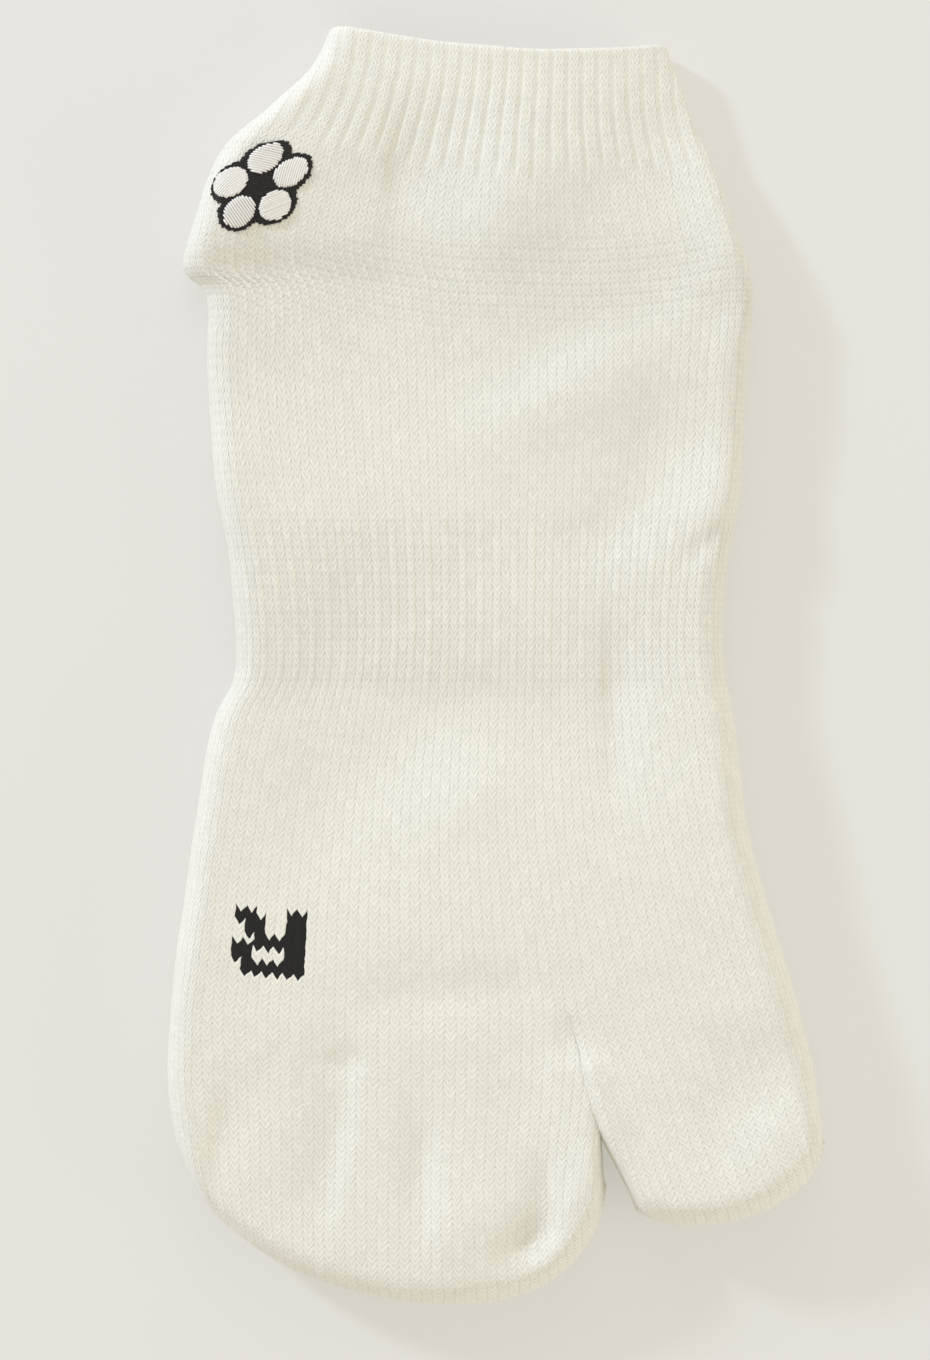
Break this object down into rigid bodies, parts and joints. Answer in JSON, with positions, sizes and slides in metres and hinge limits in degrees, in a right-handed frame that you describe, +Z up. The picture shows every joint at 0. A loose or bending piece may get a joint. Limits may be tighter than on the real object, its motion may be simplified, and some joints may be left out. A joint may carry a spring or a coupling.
{
  "type": "tabi ankle sock",
  "caption": "Ivory knitted ankle sock for the right foot, laid flat, with a ribbed cuff, elastic arch band and separate big-toe pocket; a plum blossom is embroidered on the outer ankle.",
  "frame": {"origin": "on the ground under the middle of the sock's box", "axes": "+Y towards the cuff, -Y towards the toes, +X towards the big toe, +Z up through the instep"},
  "size_m": [0.1094, 0.2126, 0.0152],
  "materials": {
    "ivory_knit": "matte cotton knit",
    "black_thread": "satin-stitched black thread, low sheen",
    "white_thread": "satin-stitched white thread, low sheen"
  },
  "bodies": {
    "root": {"sock": "ivory_knit", "blossom_ground": "black_thread", "blossom_petal_1": "white_thread", "blossom_petal_2": "white_thread", "blossom_petal_3": "white_thread", "blossom_petal_4": "white_thread", "blossom_petal_5": "white_thread"}
  },
  "joints": []
}
